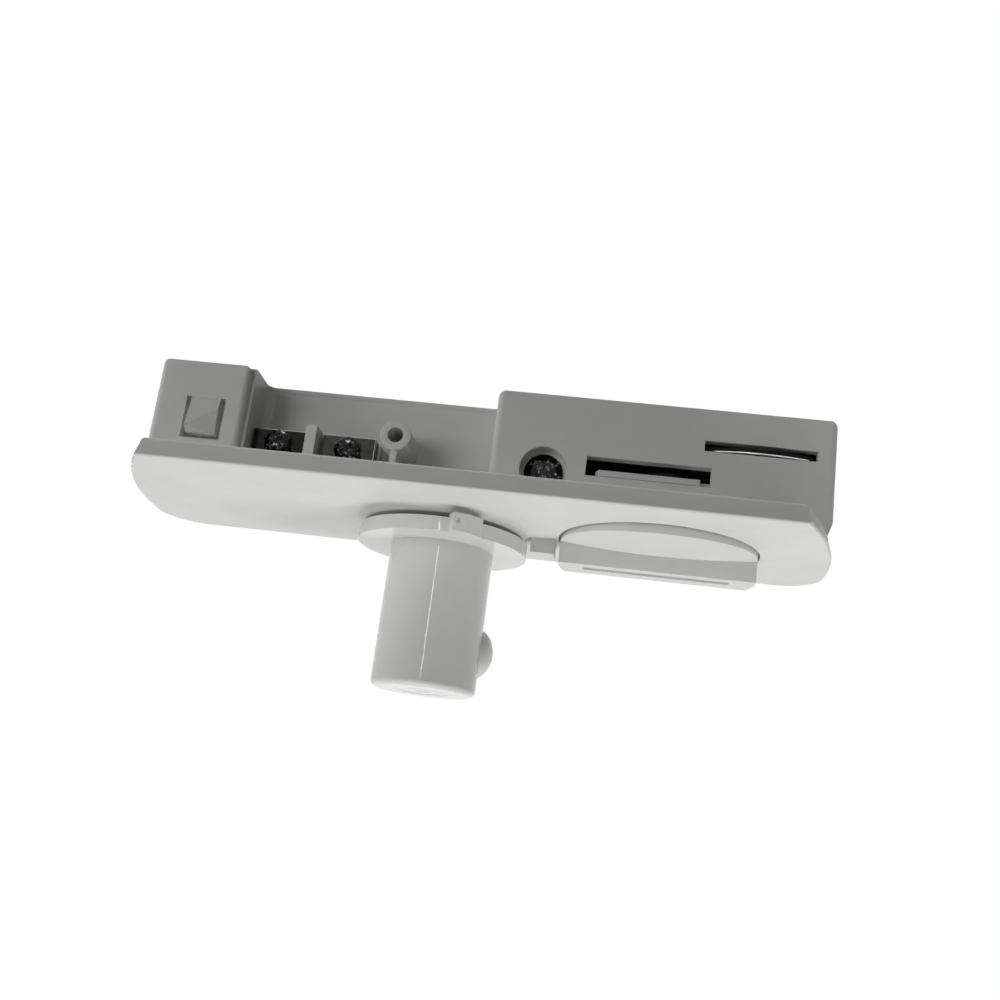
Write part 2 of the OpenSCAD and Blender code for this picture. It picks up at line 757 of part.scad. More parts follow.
module wing_screw() {
    color(steel) translate([lever_x, 0, hub_top + lie])
        screw(spindle_d - 0.2, 1.1, wing_screw_d, wing_screw_len, spindle_d * 0.7, true);
}

module spring_washer() {
    color(spring_steel) translate([lever_x, 0, washer_z]) difference() {
        cylinder(d = hub_d, h = washer_h);
        translate([0, 0, -over]) cylinder(d = spindle_d + 2 * run, h = washer_h + 2 * over);
    }
}

// Contacts

// Shoe of angle section: a blade with a curved edge and an upright flange that the spring bears on
module contact_shoe() {
    crest = half + shoe_out;
    translate([0, 0, shoe_z]) linear_extrude(shoe_t) intersection() {
        translate([0, shoe_edge_r - crest]) circle(shoe_edge_r, $fn = 240);
        translate([-shoe_w / 2, -crest]) square([shoe_w, crest - flange_y + shoe_t]);
    }
    box([-flange_w / 2, -flange_y, shoe_z], [flange_w / 2, shoe_t - flange_y, shoe_top]);
}

module live_contact() {
    color(brass) translate([contact_x, 0, 0]) contact_shoe();
}

module neutral_contact() {
    color(brass) translate([contact_x, 0, 0]) rotate(180) contact_shoe();
}

// Bowed leaf between a strip and its shoe
module contact_leaf() {
    color(spring_steel) translate([0, 0, upper_run_z + 0.2]) linear_extrude(upper_run_h - 0.4)
        intersection() {
            translate([0, leaf_r - leaf_high]) difference() {
                circle(leaf_r, $fn = 240);
                circle(leaf_r - leaf_t, $fn = 240);
            }
            translate([-leaf_half, -leaf_high]) square([2 * leaf_half, leaf_high - leaf_low]);
        }
}

module live_spring() {
    translate([contact_x, 0, 0]) contact_leaf();
}

module neutral_spring() {
    translate([contact_x, 0, 0]) rotate(180) contact_leaf();
}

module contact_divider() {
    color(grey) box([contact_x - flange_w / 2, -divider_t / 2, shelf_z + lie],
        [mech_end - end_wall - lie, divider_t / 2, ceiling - lie]);
}

// Cord outlet

// Turned profile of the outlet: wire neck, swivel disc and cord tube
module outlet_profile() {
    difference() {
        union() {
            translate([0, disc_low]) square([disc_d / 2, disc_t]);
            translate([0, tube_low + tube_edge_r]) square([tube_d / 2, tube_len - tube_edge_r + disc_t / 2]);
            translate([0, tube_low]) square([tube_d / 2 - tube_edge_r, tube_len]);
            translate([tube_d / 2 - tube_edge_r, tube_low + tube_edge_r]) circle(tube_edge_r);
            translate([0, disc_low]) square([neck_d / 2, neck_top - disc_low]);
        }
        translate([0, tube_low - over]) square([cord_d / 2, cord_len + over]);
        polygon([[0, tube_low + cord_len - lie], [cord_d / 2, tube_low + cord_len - lie],
            [cord_d / 2, tube_low + cord_len], [neck_bore_d / 2, tube_low + cord_len + 0.8],
            [neck_bore_d / 2, neck_top + over], [0, neck_top + over]]);
        translate([neck_groove_d / 2, 0]) square([neck_d, clip_t + 2 * lie]);
        translate([-over - disc_d, tube_low - over]) square([over + disc_d, 2 * (neck_top - tube_low)]);
    }
}

module cord_tube() {
    tab_r = disc_d / 2 + tab_out;
    root_r = disc_d / 2 - 0.6;
    color(white) translate([outlet_x, 0, 0]) difference() {
        union() {
            rotate_extrude() outlet_profile();
            translate([0, 0, disc_low]) linear_extrude(disc_t + tab_rise) polygon([
                for (p = [[root_r, -11], [tab_r, -8.5], [tab_r - 0.05, 0], [tab_r - 0.85, 11], [root_r, 12]])
                    p[0] * [cos(tab_angle + p[1]), sin(tab_angle + p[1])]]);
        }
        rotate(tab_angle - 5.5) translate([tab_r - 0.25, 0, disc_low + disc_t * 0.7]) rotate([0, 90, 0])
            cylinder(d = 0.6, h = over, $fn = 24);
        translate([0, 0, clamp_z]) rotate([0, 90, clamp_angle]) {
            translate([0, 0, clamp_seat]) cylinder(d = clamp_head_d + room, h = tube_d);
            cylinder(d = clamp_shank_d + 2 * run, h = tube_d);
        }
    }
}

// Fork that drops into the neck's groove from the front and holds the outlet in the plate
module tube_clip() {
    color(spring_steel) translate([outlet_x, 0, clip_z]) difference() {
        box([-clip_half, -clip_front, 0], [clip_half, clip_back, clip_t]);
        translate([0, 0, -over]) cylinder(d = neck_groove_d + 2 * run, h = clip_t + 2 * over);
        box([-neck_groove_d / 2 - run, 0, -over], [neck_groove_d / 2 + run, half, clip_t + over]);
    }
}

module clamp_screw() {
    head_h = tube_d / 2 - clamp_seat + clamp_out;
    shank_len = clamp_seat - cord_d / 2 - lie;
    color(white) translate([outlet_x, 0, clamp_z]) rotate([0, 90, clamp_angle]) translate([0, 0, clamp_seat])
        screw(clamp_head_d, head_h, clamp_shank_d, shank_len, clamp_head_d * 0.62, false);
}

base_housing();
mechanism_cover();
cover_screw();
lock_lever();
lock_wing();
wing_screw();
spring_washer();
live_contact();
neutral_contact();
live_spring();
neutral_spring();
contact_divider();
live_strip();
neutral_strip();
live_clamp();
neutral_clamp();
live_screw();
neutral_screw();
cord_tube();
tube_clip();
clamp_screw();
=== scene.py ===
import math

import bmesh
import bpy
from mathutils import Matrix, Vector


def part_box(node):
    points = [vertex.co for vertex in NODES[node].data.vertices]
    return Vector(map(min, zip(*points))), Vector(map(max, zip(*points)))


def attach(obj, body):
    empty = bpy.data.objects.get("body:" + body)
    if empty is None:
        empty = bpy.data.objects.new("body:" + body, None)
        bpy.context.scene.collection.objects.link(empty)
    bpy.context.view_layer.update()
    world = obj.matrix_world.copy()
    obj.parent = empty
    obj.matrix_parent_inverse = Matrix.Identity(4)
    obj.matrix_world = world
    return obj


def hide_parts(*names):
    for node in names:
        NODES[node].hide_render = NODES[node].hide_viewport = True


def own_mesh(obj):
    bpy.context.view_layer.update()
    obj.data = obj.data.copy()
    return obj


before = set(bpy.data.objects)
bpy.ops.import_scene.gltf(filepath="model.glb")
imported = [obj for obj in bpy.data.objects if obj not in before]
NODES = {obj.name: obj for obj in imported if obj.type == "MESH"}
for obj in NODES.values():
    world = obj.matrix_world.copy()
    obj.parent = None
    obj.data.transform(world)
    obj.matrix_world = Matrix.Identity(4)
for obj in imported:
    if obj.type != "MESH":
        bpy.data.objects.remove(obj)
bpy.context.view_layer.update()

bl_info = {
    "name": "Track Light Adapter",
    "version": (1, 0, 0),
    "blender": (4, 5, 0),
    "location": "View3D > Sidebar > Adapter",
    "description": "Dresses the track light adapter's solids and builds its photo stage",
    "category": "Object",
}

# Outlet: place of its axis, and the distance from it beyond which only the stop tab lies
OUTLET_X = -0.00445
TAB_REACH = 0.0117

# Contacts: thickness of a leaf spring, width of a shoe's painted highlight rim and how far back its curved
# front reaches
LEAF_THICKNESS = 0.00025
RIM_HIGHLIGHT_WIDTH = 0.00018
SHOE_FRONT = 0.0009

# Low and high corners of boxes that pick out faces, and the room around the cover screw, in millimetres; the
# cavity and wing-hub boxes pick the faces that get painted shade
HOUSING_CAVITY = ((2.5, -3.25, 0.02), (45.9, 3.25, 14.75))
COVER_CAVITY = ((2.5, -3.25, 0.2), (45.9, 3.25, 14.75))
LATCH_TIP = ((-42.2, -6.5, 5.6), (-37.9, -4.91, 11.2))
WING_HUB = ((22.0, -3.0, 6.4), (28.2, 3.0, 7.6))
BORE_ROOM = Vector((0.8, 6.0, 0.8))


class AdapterPlasticSettings(bpy.types.PropertyGroup):
    """Moulded plastic of the housing, lever and outlet"""
    shell_colour: bpy.props.FloatVectorProperty(
        name="Shell", description="Colour of the white mouldings", subtype="COLOR", size=3,
        min=0.0, max=1.0, default=(0.72, 0.72, 0.71))
    # Painted shade: near-black colour for the cavity walls and wing hub deep in the slots, standing in for
    # the shade there
    cavity_shade_colour: bpy.props.FloatVectorProperty(
        name="Inside", description="Colour of the dark mouldings and cavity walls inside", subtype="COLOR",
        size=3, min=0.0, max=1.0, default=(0.02, 0.02, 0.021))
    satin: bpy.props.FloatProperty(
        name="Satin roughness", description="Middle roughness of the housing, cover and lever",
        subtype="FACTOR", min=0.0, max=1.0, default=0.4)
    satin_shine: bpy.props.FloatProperty(
        name="Satin shine", description="Strength of the satin faces' reflections", subtype="FACTOR",
        min=0.0, max=1.0, default=0.1)
    polish: bpy.props.FloatProperty(
        name="Polished roughness", description="Middle roughness of the cord outlet", subtype="FACTOR",
        min=0.0, max=1.0, default=0.08)
    polish_shine: bpy.props.FloatProperty(
        name="Polished shine", description="Strength of the outlet's reflections", subtype="FACTOR",
        min=0.0, max=1.0, default=0.25)
    edge: bpy.props.FloatProperty(
        name="Edge radius", description="Rounding of the moulded edges", subtype="DISTANCE", unit="LENGTH",
        min=0.0, max=0.0006, default=0.00016, precision=5)


class AdapterMetalSettings(bpy.types.PropertyGroup):
    """Metal of the screws, terminals, contacts and springs"""
    # Painted reflection: the screws' near-black colour stands in for the dark surroundings their metal
    # mirrors
    screw_dark_reflection_colour: bpy.props.FloatVectorProperty(
        name="Screws", description="Dark zinc of the screws", subtype="COLOR", size=3,
        min=0.0, max=1.0, default=(0.016, 0.016, 0.016))
    # Painted light and shade: the two wire clamps are lit and shaded copies of one plating; this near-black
    # one is painted shade
    shaded_clamp_colour: bpy.props.FloatVectorProperty(
        name="Terminals", description="Dull plating of the wire clamps", subtype="COLOR", size=3,
        min=0.0, max=1.0, default=(0.016, 0.016, 0.0155))
    # Painted light: the lighter copy of the clamp plating, for the clamp beside the boss
    lit_clamp_colour: bpy.props.FloatVectorProperty(
        name="Cleaner terminal", description="Plating of the clamp beside the boss, which is less tarnished",
        subtype="COLOR", size=3, min=0.0, max=1.0, default=(0.042, 0.042, 0.04))
    # Painted shade: the shoes and strips are near black to stand in for the shade of the slots they sit in
    contact_shade_colour: bpy.props.FloatVectorProperty(
        name="Contacts", description="Tarnished stamped shoes and strips", subtype="COLOR", size=3,
        min=0.0, max=1.0, default=(0.008, 0.008, 0.0075))
    spring_colour: bpy.props.FloatVectorProperty(
        name="Springs", description="Spring steel of the leaves, clip and washer", subtype="COLOR", size=3,
        min=0.0, max=1.0, default=(0.45, 0.45, 0.46))
    # Worn metal and painted glints: this bright colour goes on metal edges and spots, partly as real wear
    # and partly as painted glints
    worn_and_glint_colour: bpy.props.FloatVectorProperty(
        name="Worn edges", description="Bare metal on worn edges and spots", subtype="COLOR", size=3,
        min=0.0, max=1.0, default=(0.42, 0.42, 0.41))
    edge: bpy.props.FloatProperty(
        name="Edge radius", description="Rounding of stamped and turned edges", subtype="DISTANCE",
        unit="LENGTH", min=0.0, max=0.0003, default=0.00009, precision=5)


class AdapterStageSettings(bpy.types.PropertyGroup):
    """Floor, light and camera of the photograph"""
    camera_place: bpy.props.FloatVectorProperty(
        name="Camera", description="Place of the camera", subtype="TRANSLATION", unit="LENGTH", size=3,
        default=(0.01834, -0.15953, -0.04204))
    camera_azimuth: bpy.props.FloatProperty(
        name="Azimuth", description="Turn of the camera to the right", subtype="ANGLE",
        default=math.radians(5.620))
    camera_elevation: bpy.props.FloatProperty(
        name="Elevation", description="Height angle of the camera, below the part when negative",
        subtype="ANGLE", default=math.radians(-15.334))
    camera_roll: bpy.props.FloatProperty(
        name="Roll", description="Roll of the camera about its own axis", subtype="ANGLE",
        default=math.radians(7.407))
    camera_lens: bpy.props.FloatProperty(
        name="Lens", description="Focal length on a 36 mm sensor", unit="CAMERA", default=42.79)
    floor_z: bpy.props.FloatProperty(
        name="Floor", description="Height of the floor below the part", unit="LENGTH", default=-0.62)


# Node helpers

# Sockets of a mix node that mixes colours
MIX_FACTOR, MIX_FIRST, MIX_SECOND, MIX_RESULT = 0, 6, 7, 2


def add_node(tree, kind, place, **values):
    """Adds one shader node, with its settings and unlinked inputs."""
    made = tree.nodes.new(kind)
    made.location = place
    for key, value in values.items():
        if hasattr(made, key):
            setattr(made, key, value)
        else:
            made.inputs[key.replace("_", " ")].default_value = value
    return made


def start_material(name):
    made = bpy.data.materials.new(name)
    made.use_nodes = True
    tree = made.node_tree
    shader = tree.nodes["Principled BSDF"]
    shader.location = (400, 0)
    coords = add_node(tree, "ShaderNodeTexCoord", (-1000, 0))
    return made, tree, shader, coords.outputs["Object"]


def mottle(tree, vector, scale, low, high, place, detail=4.0, reach=(0.3, 0.7)):
    """A noise field whose reach is mapped to a range, for colour, roughness or height."""
    field = add_node(tree, "ShaderNodeTexNoise", place, Scale=scale, Detail=detail, Roughness=0.55)
    tree.links.new(vector, field.inputs["Vector"])
    span = add_node(tree, "ShaderNodeMapRange", (place[0] + 220, place[1]), From_Min=reach[0],
                    From_Max=reach[1], To_Min=low, To_Max=high)
    tree.links.new(field.outputs["Fac"], span.inputs["Value"])
    return span.outputs["Result"]


def tint(tree, factor, first, second, place):
    """Mixes two colours by a field; either may be another node's output."""
    blend = add_node(tree, "ShaderNodeMix", place, data_type="RGBA")
    for socket, colour in ((MIX_FIRST, first), (MIX_SECOND, second)):
        if isinstance(colour, bpy.types.NodeSocket):
            tree.links.new(colour, blend.inputs[socket])
        else:
            blend.inputs[socket].default_value = (*colour, 1.0)
    tree.links.new(factor, blend.inputs[MIX_FACTOR])
    return blend.outputs[MIX_RESULT]


def relief(tree, height, strength, distance, place):
    bump = add_node(tree, "ShaderNodeBump", place, Strength=strength, Distance=distance)
    tree.links.new(height, bump.inputs["Height"])
    return bump.outputs["Normal"]


def shade(colour, factor):
    return tuple(min(1.0, c * factor) for c in colour)


# Finishes: one material for each, however many pieces wear it

def moulded_plastic(name, colour, roughness, shine):
    """Injection moulding: faint flow mottling, uneven gloss and a fine tool grain."""
    if name in bpy.data.materials:
        return bpy.data.materials[name]
    made, tree, shader, vector = start_material(name)
    flow = mottle(tree, vector, 95.0, 0.0, 1.0, (-780, 300))
    skin = tint(tree, flow, shade(colour, 0.965), shade(colour, 1.03), (-300, 300))
    tree.links.new(skin, shader.inputs["Base Color"])
    gloss = mottle(tree, vector, 420.0, roughness * 0.8, roughness * 1.25, (-780, 0))
    tree.links.new(gloss, shader.inputs["Roughness"])
    grain = mottle(tree, vector, 5200.0, 0.0, 1.0, (-780, -300), detail=2.0)
    tree.links.new(relief(tree, grain, 0.05, 0.000004, (-300, -300)), shader.inputs["Normal"])
    shader.inputs["IOR"].default_value = 1.5
    shader.inputs["Specular IOR Level"].default_value = shine
    return made


def rolled_metal(name, colour, roughness, lay, dents=0.000008, worn_glint_spot_colour=None):
    """Stamped or turned metal: fine lines along its lay, patchy tarnish and, where given, bright spots that
    are part worn metal and part painted glints.
    """
    if name in bpy.data.materials:
        return bpy.data.materials[name]
    made, tree, shader, vector = start_material(name)
    along = add_node(tree, "ShaderNodeMapping", (-1000, -250))
    along.inputs["Scale"].default_value = lay
    tree.links.new(vector, along.inputs["Vector"])
    tarnish = mottle(tree, vector, 700.0, 0.0, 1.0, (-780, 300))
    skin = tint(tree, tarnish, shade(colour, 0.75), shade(colour, 1.2), (-300, 300))
    # Bright spots: part bare worn metal, part painted glints
    if worn_glint_spot_colour:
        spots = mottle(tree, vector, 1500.0, 0.0, 1.0, (-780, 600), detail=2.0, reach=(0.61, 0.67))
        skin = tint(tree, spots, skin, worn_glint_spot_colour, (-220, 600))
    tree.links.new(skin, shader.inputs["Base Color"])
    polish = mottle(tree, vector, 1500.0, roughness - 0.08, roughness + 0.05, (-780, 0))
    tree.links.new(polish, shader.inputs["Roughness"])
    lines = mottle(tree, along.outputs["Vector"], 1800.0, 0.0, 1.0, (-780, -300), detail=3.0)
    tree.links.new(relief(tree, lines, 0.25, dents, (-300, -300)), shader.inputs["Normal"])
    shader.inputs["Metallic"].default_value = 1.0
    return made


def shell_finish():
    plastic = bpy.context.scene.adapter_plastic
    return moulded_plastic("satin_moulding", plastic.shell_colour, plastic.satin, plastic.satin_shine)


def outlet_finish():
    plastic = bpy.context.scene.adapter_plastic
    return moulded_plastic("polished_moulding", plastic.shell_colour, plastic.polish, plastic.polish_shine)


# Painted shade: near-black moulding for faces deep in the slots and cavity
def cavity_shade_finish():
    plastic = bpy.context.scene.adapter_plastic
    return moulded_plastic("painted_cavity_shade", plastic.cavity_shade_colour, plastic.satin + 0.2, plastic.satin_shine)


# Painted reflection: near-black screw metal, with bright spots that are part wear and part painted glints
def screw_dark_reflection_finish():
    metal = bpy.context.scene.adapter_metal
    return rolled_metal("painted_dark_reflection_screw", metal.screw_dark_reflection_colour, 0.18, (1, 1, 2), 0.00003, tuple(metal.worn_and_glint_colour))


# Painted shade: the clamp plating darkened for the shadow in the tray
def shaded_clamp_finish():
    metal = bpy.context.scene.adapter_metal
    return rolled_metal("shaded_clamp_plating", metal.shaded_clamp_colour, 0.2, (1, 2, 2), 0.00003)


# Painted light: a lighter copy of the clamp plating
def lit_clamp_finish():
    metal = bpy.context.scene.adapter_metal
    return rolled_metal("lit_clamp_plating", metal.lit_clamp_colour, 0.2, (1, 2, 2), 0.00003)


# Painted shade: near-black metal for the contacts in the dark slots
def contact_shade_finish():
    metal = bpy.context.scene.adapter_metal
    return rolled_metal("contact_painted_shade", metal.contact_shade_colour, 0.22, (0.2, 4, 4))


def spring_finish():
    metal = bpy.context.scene.adapter_metal
    return rolled_metal("spring_steel", metal.spring_colour, 0.2, (0.3, 4, 4))


# Worn metal and painted glints along metal edges
def worn_and_glint_finish():
    metal = bpy.context.scene.adapter_metal
    return rolled_metal("worn_and_glint_edges", metal.worn_and_glint_colour, 0.2, (2, 2, 2))


# A dim version of the worn edges and painted glints, for the shoes and strips
def dim_edge_wear_and_glint_finish():
    metal = bpy.context.scene.adapter_metal
    return rolled_metal("dim_shoe_edge_wear_and_glint", shade(metal.worn_and_glint_colour, 0.15), 0.2, (2, 2, 2))


# Painted highlight for the shoes' lower rims
def rim_highlight_finish():
    metal = bpy.context.scene.adapter_metal
    return rolled_metal("painted_rim_highlight", shade(metal.worn_and_glint_colour, 1.7), 0.2, (0.2, 4, 4))


# Dressing of the solids

def dress(node, material, edge, worn_glint_edges=None):
    """Gives a solid its finish and softly rounded edges, which may get a second finish of worn metal and
    painted glints.
    """
    solid = NODES[node]
    solid.data.materials.clear()
    solid.data.materials.append(material)
    for face in solid.data.polygons:
        face.material_index = 0
        face.use_smooth = True
    weld = solid.modifiers.new("joined_seams", "WELD")
    weld.merge_threshold = 0.000002
    soft = solid.modifiers.new("soft_edges", "BEVEL")
    soft.width = edge
    soft.segments = 2
    soft.limit_method = "ANGLE"
    soft.angle_limit = math.radians(35.0)
    soft.use_clamp_overlap = True
    # Edge finish: worn metal and painted glints on the rounded edges
    if worn_glint_edges:
        solid.data.materials.append(worn_glint_edges)
        soft.material = 1
    even = solid.modifiers.new("even_normals", "WEIGHTED_NORMAL")
    even.mode = "FACE_AREA_WITH_ANGLE"
    even.weight = 80
    even.keep_sharp = True
    return solid


def faces_within(solid, low, high):
    """Faces of a solid whose middle lies in a box, given in millimetres."""
    low, high = Vector(low) * 0.001, Vector(high) * 0.001
    return [face for face in solid.data.polygons
            if all(a <= c <= b for a, c, b in zip(low, face.center, high))]


def second_finish(solid, material, faces):
    """Gives some faces of a solid another finish."""
    solid.data.materials.append(material)
    for face in faces:
        face.material_index = len(solid.data.materials) - 1


def paint_rim_highlight(node, material, width):
    """Painted highlight: a bright rim along the lower edge of a shoe's curved front, where light from below
    glints on it.
    """
    solid = NODES[node]
    low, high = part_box(node)
    front = max(-low.y, high.y) - SHOE_FRONT
    lower_edge = [corner.index for corner in solid.data.vertices
                  if corner.co.z < low.z + 1e-6 and abs(corner.co.y) > front]
    rim = solid.vertex_groups.new(name="highlight_rim")
    rim.add(lower_edge, 1.0, "REPLACE")
    solid.data.materials.append(material)
    highlight_bevel = solid.modifiers.new("highlight_rim", "BEVEL")
    highlight_bevel.width = width
    highlight_bevel.segments = 2
    highlight_bevel.limit_method = "VGROUP"
    highlight_bevel.vertex_group = rim.name
    highlight_bevel.material = len(solid.data.materials) - 1
    solid.modifiers.move(len(solid.modifiers) - 1, 1)


# Pieces

def new_piece(name, mesh):
    """Links a finished mesh to the scene as a smooth piece."""
    bmesh.ops.recalc_face_normals(mesh, faces=mesh.faces)
    data = bpy.data.meshes.new(name)
    mesh.to_mesh(data)
    mesh.free()
    data.shade_smooth()
    made = bpy.data.objects.new(name, data)
    bpy.context.scene.collection.objects.link(made)
    return made


def turned_piece(name, axis, profile, steps=96):
    """A disc turned about an upright axis from a section of radius and height, in millimetres."""
    mesh = bmesh.new()
    rings = []
    for k in range(steps):
        turn = 2.0 * math.pi * k / steps
        out = 0.001 * Vector((math.cos(turn), math.sin(turn)))
        rings.append([mesh.verts.new((axis[0] + r * out.x, axis[1] + r * out.y, z * 0.001))
                      for r, z in profile])
    for k in range(steps):
        here, after = rings[k], rings[(k + 1) % steps]
        for i in range(len(profile)):
            j = (i + 1) % len(profile)
            mesh.faces.new((here[i], after[i], after[j], here[j]))
    bmesh.ops.remove_doubles(mesh, verts=mesh.verts, dist=0.0000005)
    return new_piece(name, mesh)


def bowed_leaf(name, node, side, thick):
    """A strip that bows from its two feet to a crest on one side, in the room of its solid."""
    low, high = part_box(node)
    foot, crest = (low.y, high.y) if side > 0 else (high.y, low.y)
    middle, half, steps = (low.x + high.x) / 2.0, (high.x - low.x) / 2.0, 48
    mesh = bmesh.new()
    rows = []
    for k in range(steps + 1):
        along = 2.0 * k / steps - 1.0
        outer = crest + (foot + side * thick - crest) * along * along
        inner = outer - side * thick
        section = ((outer, low.z), (outer, high.z), (inner, high.z), (inner, low.z))
        rows.append([mesh.verts.new((middle + half * along, y, z)) for y, z in section])
    for here, after in zip(rows, rows[1:]):
        for i in range(4):
            mesh.faces.new((here[i], after[i], after[(i + 1) % 4], here[(i + 1) % 4]))
    for end in (rows[0], rows[-1]):
        mesh.faces.new(end)
    return new_piece(name, mesh)


def spring_leaf(name, node, side):
    """Leaf spring behind a contact shoe, built bowed at rest; the real leaf flattens on its strip as the
    shoe is pressed in, but this mesh keeps its bow.
    """
    leaf = bowed_leaf(name, node, side, LEAF_THICKNESS)
    leaf.data.materials.append(spring_finish())
    for edge in leaf.data.edges:
        ends = [leaf.data.vertices[i].co for i in edge.vertices]
        edge.use_edge_sharp = abs(ends[0].x - ends[1].x) > 1e-6
    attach(leaf, "housing")
    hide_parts(node)
    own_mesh(leaf)


class ADAPTER_OT_housing(bpy.types.Operator):
    """Finish the base housing and the mechanism cover"""
    bl_idname = "adapter.housing"
    bl_label = "Housing and Cover"

    def execute(self, context):
        edge = context.scene.adapter_plastic.edge
        housing = dress("base_housing", shell_finish(), edge)
        cover = dress("mechanism_cover", shell_finish(), edge)
        low, high = (1000.0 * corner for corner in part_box("cover_screw"))
        # Painted shade: faces inside the cavity, apart from those around the cover screw's bore, get the
        # near-black finish
        for solid, cavity in ((housing, HOUSING_CAVITY), (cover, COVER_CAVITY)):
            bore = {face.index for face in faces_within(solid, low - BORE_ROOM, high + BORE_ROOM)}
            inside = faces_within(solid, *cavity)
            second_finish(solid, cavity_shade_finish(), [face for face in inside if face.index not in bore])
        for face in faces_within(housing, *LATCH_TIP):
            face.use_smooth = False
        return {"FINISHED"}


class ADAPTER_OT_lock(bpy.types.Operator):
    """Finish the locking lever, its wing and the parts on its spindle"""
    bl_idname = "adapter.lock"
    bl_label = "Lock"

    def execute(self, context):
        dress("lock_lever", shell_finish(), context.scene.adapter_plastic.edge)
        wing = dress("lock_wing", shell_finish(), context.scene.adapter_plastic.edge * 0.6)
        # Painted shade on the wing's hub, which lies deep behind its front edge
        second_finish(wing, cavity_shade_finish(), faces_within(wing, *WING_HUB))
        # The wing screw gets the near-black screw metal, a painted dark reflection
        dress("wing_screw", screw_dark_reflection_finish(), context.scene.adapter_metal.edge)
        dress("spring_washer", spring_finish(), context.scene.adapter_metal.edge)
        return {"FINISHED"}


class ADAPTER_OT_contacts(bpy.types.Operator):
    """Finish the contact shoes, their springs, strips and divider"""
    bl_idname = "adapter.contacts"
    bl_label = "Contacts"

    def execute(self, context):
        edge = context.scene.adapter_metal.edge
        # Painted shade on the contacts, with dim worn edges and painted glints
        for node in ("live_contact", "neutral_contact", "live_strip", "neutral_strip"):
            dress(node, contact_shade_finish(), edge, worn_glint_edges=dim_edge_wear_and_glint_finish())
        for node in ("live_contact", "neutral_contact"):
            paint_rim_highlight(node, rim_highlight_finish(), RIM_HIGHLIGHT_WIDTH)
        spring_leaf("live_leaf", "live_spring", -1)
        spring_leaf("neutral_leaf", "neutral_spring", 1)
        # The divider gets the same near-black finish as the cavity walls around it
        dress("contact_divider", cavity_shade_finish(), edge)
        return {"FINISHED"}


class ADAPTER_OT_terminals(bpy.types.Operator):
    """Finish the wire clamps and their screws"""
    bl_idname = "adapter.terminals"
    bl_label = "Terminals"

    def execute(self, context):
        edge = context.scene.adapter_metal.edge
        # Painted light and shade: the clamp beside the boss gets the lit copy of the plating, the neutral
        # clamp the shaded one
        for node, finish in (("live_clamp", lit_clamp_finish()), ("neutral_clamp", shaded_clamp_finish())):
            dress(node, finish, edge, worn_glint_edges=worn_and_glint_finish())
        # Painted reflection: near-black terminal screws with worn edges and painted glints
        for node in ("live_screw", "neutral_screw"):
            dress(node, screw_dark_reflection_finish(), edge * 2.0, worn_glint_edges=worn_and_glint_finish())
        return {"FINISHED"}


def seal_mouth():
    """Thin membrane in the tube's mouth, which the cord pierces when it is fitted."""
    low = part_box("cord_tube")[0].z * 1000.0
    axis = (OUTLET_X, 0.0)
    inner_side = [(0.0, 0.4), (2.6, 0.4), (2.95, 0.9), (3.47, 0.9)]
    rim = [(3.49, 0.1), (3.45, 0.03), (3.38, 0.02), (2.95, 0.02)]
    outer_side = [(2.85, 0.05), (2.75, 0.08), (0.45, 0.08), (0.35, 0.04), (0.0, 0.04)]
    section = [(r, low + rise) for r, rise in inner_side + rim + outer_side]
    seal = turned_piece("mouth_seal", axis, section)
    seal.data.materials.append(outlet_finish())
    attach(seal, "outlet")


class ADAPTER_OT_outlet(bpy.types.Operator):
    """Finish the cord outlet, its clip and its clamp screw"""
    bl_idname = "adapter.outlet"
    bl_label = "Cord Outlet"

    def execute(self, context):
        edge = context.scene.adapter_plastic.edge
        tube = dress("cord_tube", outlet_finish(), edge * 1.8)
        for face in tube.data.polygons:
            if math.hypot(face.center.x - OUTLET_X, face.center.y) > TAB_REACH:
                face.use_smooth = False
        dress("clamp_screw", outlet_finish(), edge)
        dress("tube_clip", spring_finish(), context.scene.adapter_metal.edge)
        seal_mouth()
        return {"FINISHED"}


class ADAPTER_OT_fasteners(bpy.types.Operator):
    """Finish the mechanism cover's screw"""
    bl_idname = "adapter.fasteners"
    bl_label = "Cover Screw"

    def execute(self, context):
        # Painted reflection: near-black screw with worn edges and painted glints
        dress("cover_screw", screw_dark_reflection_finish(), context.scene.adapter_metal.edge * 2.0, worn_glint_edges=worn_and_glint_finish())
        return {"FINISHED"}


# Stage

def camera_axes(azimuth, elevation, roll):
    """Right, up and backward directions of the camera."""
    back = Vector((math.sin(azimuth) * math.cos(elevation), -math.cos(azimuth) * math.cos(elevation),
                   math.sin(elevation)))
    right = Vector((math.cos(azimuth), math.sin(azimuth), 0.0))
    up = back.cross(right)
    c, s = math.cos(roll), math.sin(roll)
    return c * right + s * up, c * up - s * right, back


def soft_light(name, place, size, power, mirrored):
    """An area light that looks at the part's origin."""
    lamp = bpy.data.lights.new(name, "AREA")
    lamp.shape = "RECTANGLE"
    lamp.size, lamp.size_y = size
    lamp.energy = power
    made = bpy.data.objects.new(name, lamp)
    aim = -Vector(place)
    made.matrix_world = Matrix.Translation(place) @ aim.to_track_quat("-Z", "Y").to_matrix().to_4x4()
    made.visible_camera = False
    made.visible_glossy = mirrored
    bpy.context.scene.collection.objects.link(made)


